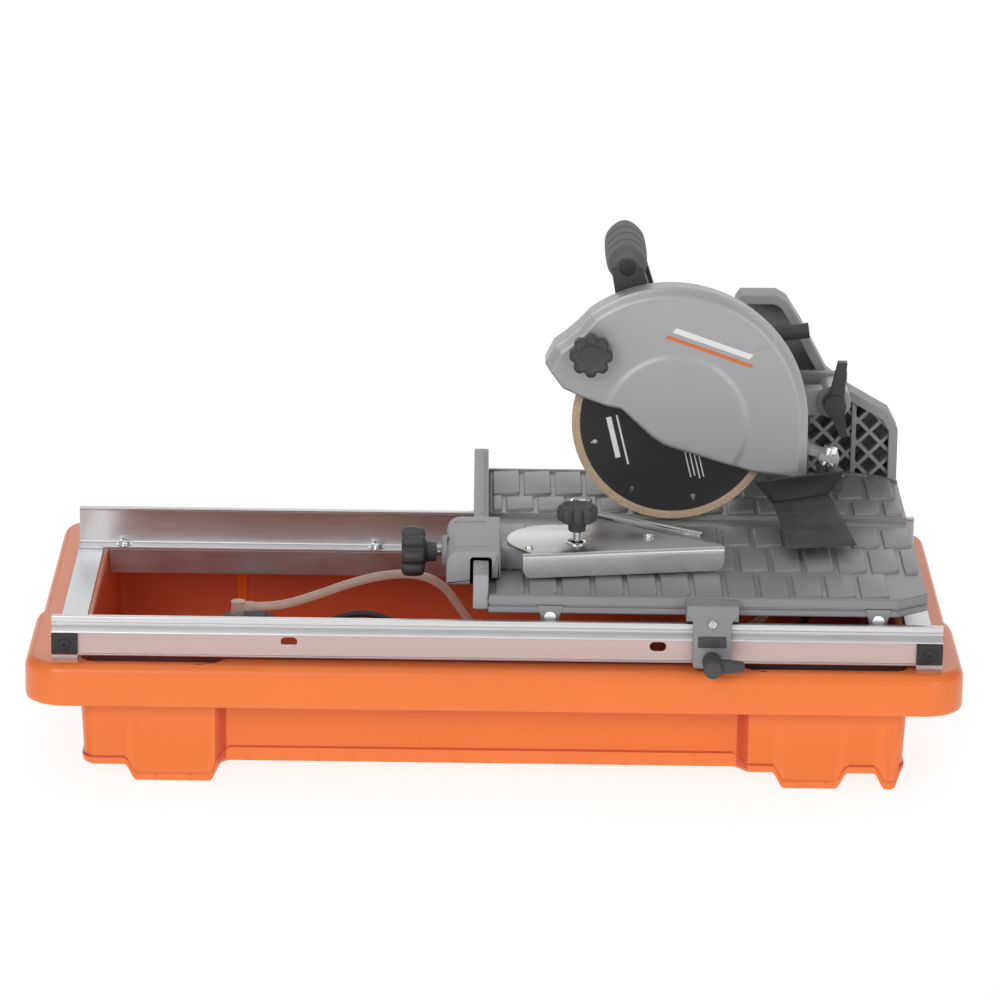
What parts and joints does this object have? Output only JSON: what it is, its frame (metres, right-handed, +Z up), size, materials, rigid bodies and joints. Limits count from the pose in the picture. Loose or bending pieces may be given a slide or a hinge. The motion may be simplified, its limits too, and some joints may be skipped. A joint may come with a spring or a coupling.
{
  "type": "wet tile saw",
  "caption": "Wet tile saw: a water tray under a rail frame, a rolling table with a mitre guide, and a tilting, lifting head with a guarded diamond blade.",
  "frame": {"origin": "on the floor, under the middle of the whole saw's box", "axes": "+X right along the rails, +Y away from the operator, +Z up"},
  "size_m": [0.792, 0.48, 0.3995],
  "materials": {
    "tray_plastic": "moulded orange plastic, satin skin",
    "aluminium": "extruded and drawn, fine lines along the length",
    "galvanised": "rolled steel sheet, zinc plated",
    "cast_grey": "mid grey paint on a casting",
    "guard_paint": "silver grey paint, fine metallic",
    "table_paint": "dark grey paint with a fine grain",
    "dark_plastic": "moulded, fine spark texture",
    "black_rubber": "matt rubber",
    "steel": "ground steel",
    "stainless_sheet": "brushed sheet with soft cloudy marks",
    "bright_zinc": "bright zinc plate",
    "blade_steel": "black printed steel core with a tan diamond rim",
    "brass": "machined brass",
    "clear_vinyl": "clear soft vinyl tube",
    "switch_red": "red rocker"
  },
  "bodies": {
    "base": {"tray": "tray_plastic", "drain_plug": "black_rubber", "front_rail": "aluminium", "rear_rail": "aluminium", "rail_beams": "galvanised", "cross_bars": "galvanised", "rail_end_caps": "dark_plastic", "frame_fasteners": "bright_zinc", "support_base": "cast_grey", "support_column": "cast_grey", "bevel_quadrant": "cast_grey", "pump_body": "dark_plastic", "pump_elbow": "clear_vinyl", "line_fittings": "dark_plastic", "water_hose": "clear_vinyl", "pump_cable": "black_rubber"},
    "table": {"table": "table_paint", "fence_bar": "cast_grey", "roller_axles": "bright_zinc", "table_lock_bracket": "cast_grey"},
    "front_roller_left": {"front_roller_left": "dark_plastic"},
    "front_roller_right": {"front_roller_right": "dark_plastic"},
    "rear_roller_left": {"rear_roller_left": "dark_plastic"},
    "rear_roller_right": {"rear_roller_right": "dark_plastic"},
    "table_lock": {"table_lock_lever": "dark_plastic"},
    "guide": {"guide_block": "cast_grey", "guide_stud": "steel"},
    "guide_clamp": {"guide_clamp_knob": "dark_plastic"},
    "guide_fence": {"guide_plate": "stainless_sheet", "guide_strip": "aluminium", "guide_rivets": "bright_zinc"},
    "guide_top_knob": {"guide_knob": "dark_plastic"},
    "yoke": {"bevel_yoke": "cast_grey", "yoke_bolts": "bright_zinc"},
    "bevel_lock": {"bevel_lock_lever": "dark_plastic"},
    "lift_lock": {"lift_lock_knob": "dark_plastic"},
    "head": {"gearbox": "guard_paint", "bearings": "steel", "motor_housing": "dark_plastic", "motor_end_cap": "dark_plastic", "brush_caps": "dark_plastic", "stator": "steel", "handle_frame": "dark_plastic", "handle_grip": "black_rubber", "handle_cap": "dark_plastic", "switch_box": "dark_plastic", "guard_front": "guard_paint", "guard_back": "guard_paint", "flap_pin": "bright_zinc"},
    "spindle": {"spindle": "steel", "spindle_gear": "steel", "blade": "blade_steel", "blade_flanges": "steel", "arbor_nut": "bright_zinc"},
    "armature": {"armature": "steel", "fan": "dark_plastic"},
    "guard_clamp": {"guard_knob": "dark_plastic"},
    "switch": {"switch_rocker": "switch_red"},
    "flap": {"flap_holder": "dark_plastic", "splash_flap": "black_rubber"}
  },
  "joints": [
    {"name": "table_slide", "type": "slide", "parent": "base", "child": "table", "axis": [1, 0, 0], "range_m": [-0.36, 0]},
    {"name": "front_roller_left_spin", "type": "hinge", "parent": "table", "child": "front_roller_left", "pos_m": [0.046, -0.187, 0.1478], "axis": [0, 1, 0], "range_deg": [-2296.8, 5]},
    {"name": "front_roller_right_spin", "type": "hinge", "parent": "table", "child": "front_roller_right", "pos_m": [0.322, -0.187, 0.1478], "axis": [0, 1, 0], "range_deg": [-2296.8, 5]},
    {"name": "rear_roller_left_spin", "type": "hinge", "parent": "table", "child": "rear_roller_left", "pos_m": [0.046, 0.121, 0.1521], "axis": [0, 1, 0], "range_deg": [-3561.3, 5]},
    {"name": "rear_roller_right_spin", "type": "hinge", "parent": "table", "child": "rear_roller_right", "pos_m": [0.322, 0.121, 0.1521], "axis": [0, 1, 0], "range_deg": [-3561.3, 5]},
    {"name": "table_lock_turn", "type": "hinge", "parent": "table", "child": "table_lock", "pos_m": [0.182, -0.22, 0.117], "axis": [0, 1, 0], "range_deg": [0, 90]},
    {"name": "guide_slide", "type": "slide", "parent": "table", "child": "guide", "axis": [0, 1, 0], "range_m": [-0.04, 0.03]},
    {"name": "guide_clamp_turn", "type": "hinge", "parent": "guide", "child": "guide_clamp", "pos_m": [-0.06, -0.088, 0.172], "axis": [1, 0, 0], "range_deg": [-180, 360]},
    {"name": "guide_angle", "type": "hinge", "parent": "guide", "child": "guide_fence", "pos_m": [0.069, -0.11, 0.187], "axis": [0, 0, 1], "range_deg": [-30, 30]},
    {"name": "guide_knob_turn", "type": "hinge", "parent": "guide", "child": "guide_top_knob", "pos_m": [0.069, -0.11, 0.2], "axis": [0, 0, 1], "range_deg": [-180, 360]},
    {"name": "head_bevel", "type": "hinge", "parent": "base", "child": "yoke", "pos_m": [0.22, 0.055, 0.165], "axis": [1, 0, 0], "range_deg": [0, 45], "deforming": ["splash_flap"]},
    {"name": "bevel_lock_turn", "type": "hinge", "parent": "yoke", "child": "bevel_lock", "pos_m": [0.24, 0.17797, 0.24184], "axis": [1, 0, 0], "range_deg": [0, 60]},
    {"name": "head_lift", "type": "hinge", "parent": "yoke", "child": "head", "pos_m": [0.303, 0.165, 0.245], "axis": [0, 1, 0], "range_deg": [0, 15]},
    {"name": "lift_lock_turn", "type": "hinge", "parent": "yoke", "child": "lift_lock", "pos_m": [0.303, 0.14, 0.245], "axis": [0, 1, 0], "range_deg": [0, 180]},
    {"name": "blade_spin", "type": "hinge", "parent": "head", "child": "spindle", "pos_m": [0.155, 0.055, 0.251], "axis": [0, 1, 0], "continuous": true},
    {"name": "armature_spin", "type": "hinge", "parent": "head", "child": "armature", "pos_m": [0.13287, 0.16, 0.27044], "axis": [0, 1, 0], "continuous": true},
    {"name": "guard_knob_turn", "type": "hinge", "parent": "head", "child": "guard_clamp", "pos_m": [0.0813, 0.03, 0.3179], "axis": [0, 1, 0], "range_deg": [-360, 0]},
    {"name": "switch_rock", "type": "hinge", "parent": "head", "child": "switch", "pos_m": [0.07787, 0.16, 0.27044], "axis": [0, 0, 1], "range_deg": [-9, 0]},
    {"name": "flap_swing", "type": "hinge", "parent": "head", "child": "flap", "pos_m": [0.289, 0.052, 0.207], "axis": [0.2419, 0, 0.9703], "range_deg": [0, 60]}
  ],
  "couplings": [
    {"joint": "front_roller_left_spin", "follows": "table_slide", "rad_per_m": 111.11},
    {"joint": "front_roller_right_spin", "follows": "table_slide", "rad_per_m": 111.11},
    {"joint": "rear_roller_left_spin", "follows": "table_slide", "rad_per_m": 172.41},
    {"joint": "rear_roller_right_spin", "follows": "table_slide", "rad_per_m": 172.41},
    {"joint": "armature_spin", "follows": "blade_spin", "ratio": -3.2727}
  ]
}
